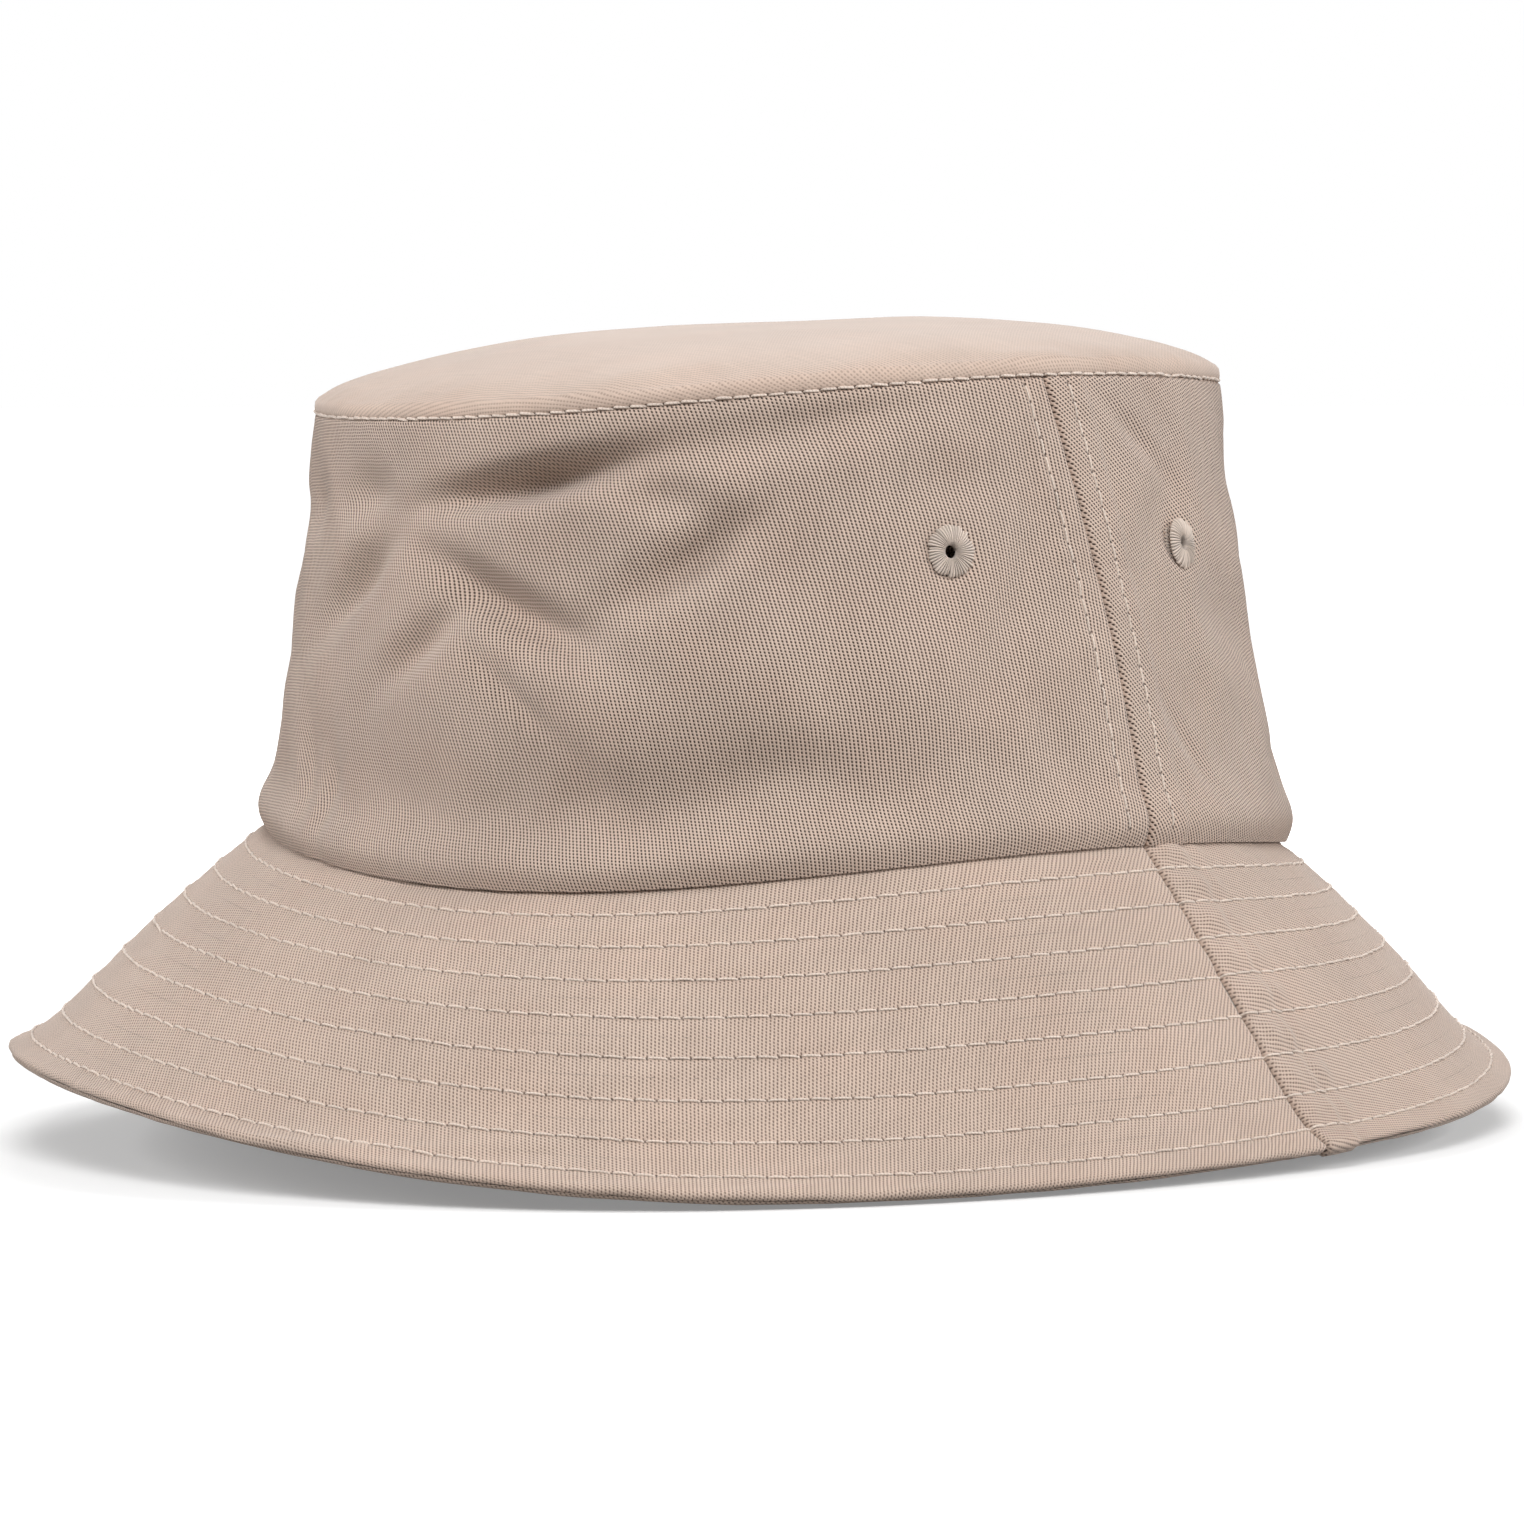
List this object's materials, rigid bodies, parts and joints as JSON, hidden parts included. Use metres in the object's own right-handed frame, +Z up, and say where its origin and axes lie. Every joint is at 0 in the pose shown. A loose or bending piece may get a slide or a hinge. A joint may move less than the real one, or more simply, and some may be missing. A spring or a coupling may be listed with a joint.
{
  "type": "bucket hat",
  "caption": "Cotton twill bucket hat with a slightly domed flat crown, sewn eyelets on the side band and a downward sloping quilted brim.",
  "frame": {"origin": "under the middle of the hat's outline, level with the lowest point of the brim, which is what a hat set down on a table stands on", "axes": "+Z up through the crown, -Y towards the front of the hat, +X towards the wearer's left; the side seams are on +X and -X"},
  "size_m": [0.2472, 0.3009, 0.1524],
  "materials": {
    "twill": "matt, warm taupe cotton twill with a diagonal wale",
    "tape": "matt, folded cotton tape a shade darker than the twill",
    "sweatband_cotton": "matt, plain-woven cotton, doubled",
    "thread": "slight sheen, twisted polyester sewing thread",
    "interlining": "matt, unbleached non-woven stiffener",
    "label_satin": "satin, woven polyester, left blank"
  },
  "bodies": {
    "crown_and_brim": {"crown_tip": "twill", "crown_side_front": "twill", "crown_side_back": "twill", "brim_upper_front": "twill", "brim_upper_back": "twill", "brim_under_front": "twill", "brim_under_back": "twill", "side_seam_tape_left": "tape", "side_seam_tape_right": "tape", "tip_seam_tape": "tape", "sweatband": "sweatband_cotton", "tip_topstitch": "thread", "sweatband_topstitch": "thread", "side_topstitch_left_front": "thread", "side_topstitch_left_back": "thread", "side_topstitch_right_front": "thread", "side_topstitch_right_back": "thread", "eyelet_left_front": "thread", "eyelet_left_back": "thread", "eyelet_right_front": "thread", "eyelet_right_back": "thread", "brim_interlining": "interlining"},
    "brim_front_turnup": {"brim_upper_front_turnup": "twill", "brim_interlining_front_turnup": "interlining", "brim_under_front_turnup": "twill"},
    "brim_back_turnup": {"brim_upper_back_turnup": "twill", "brim_interlining_back_turnup": "interlining", "brim_under_back_turnup": "twill"},
    "care_label_flap": {"care_label": "label_satin"},
    "size_label_flap": {"size_label": "label_satin"}
  },
  "joints": [
    {"name": "brim_front_turnup", "type": "hinge", "parent": "crown_and_brim", "child": "brim_front_turnup", "pos_m": [0.0029, -0.1064, 0.0498], "axis": [-1, 0, 0], "range_deg": [0, 75]},
    {"name": "brim_back_turnup", "type": "hinge", "parent": "crown_and_brim", "child": "brim_back_turnup", "pos_m": [0.0029, 0.1046, 0.0495], "axis": [1, 0, 0], "range_deg": [0, 75]},
    {"name": "care_label_flip", "type": "hinge", "parent": "crown_and_brim", "child": "care_label_flap", "pos_m": [0.0508, 0.07957, 0.05432], "axis": [0.7953, -0.6062, 0], "range_deg": [0, 150]},
    {"name": "size_label_flip", "type": "hinge", "parent": "crown_and_brim", "child": "size_label_flap", "pos_m": [-0.00307, 0.09678, 0.05446], "axis": [0.997, 0.0779, 0], "range_deg": [0, 150]}
  ]
}
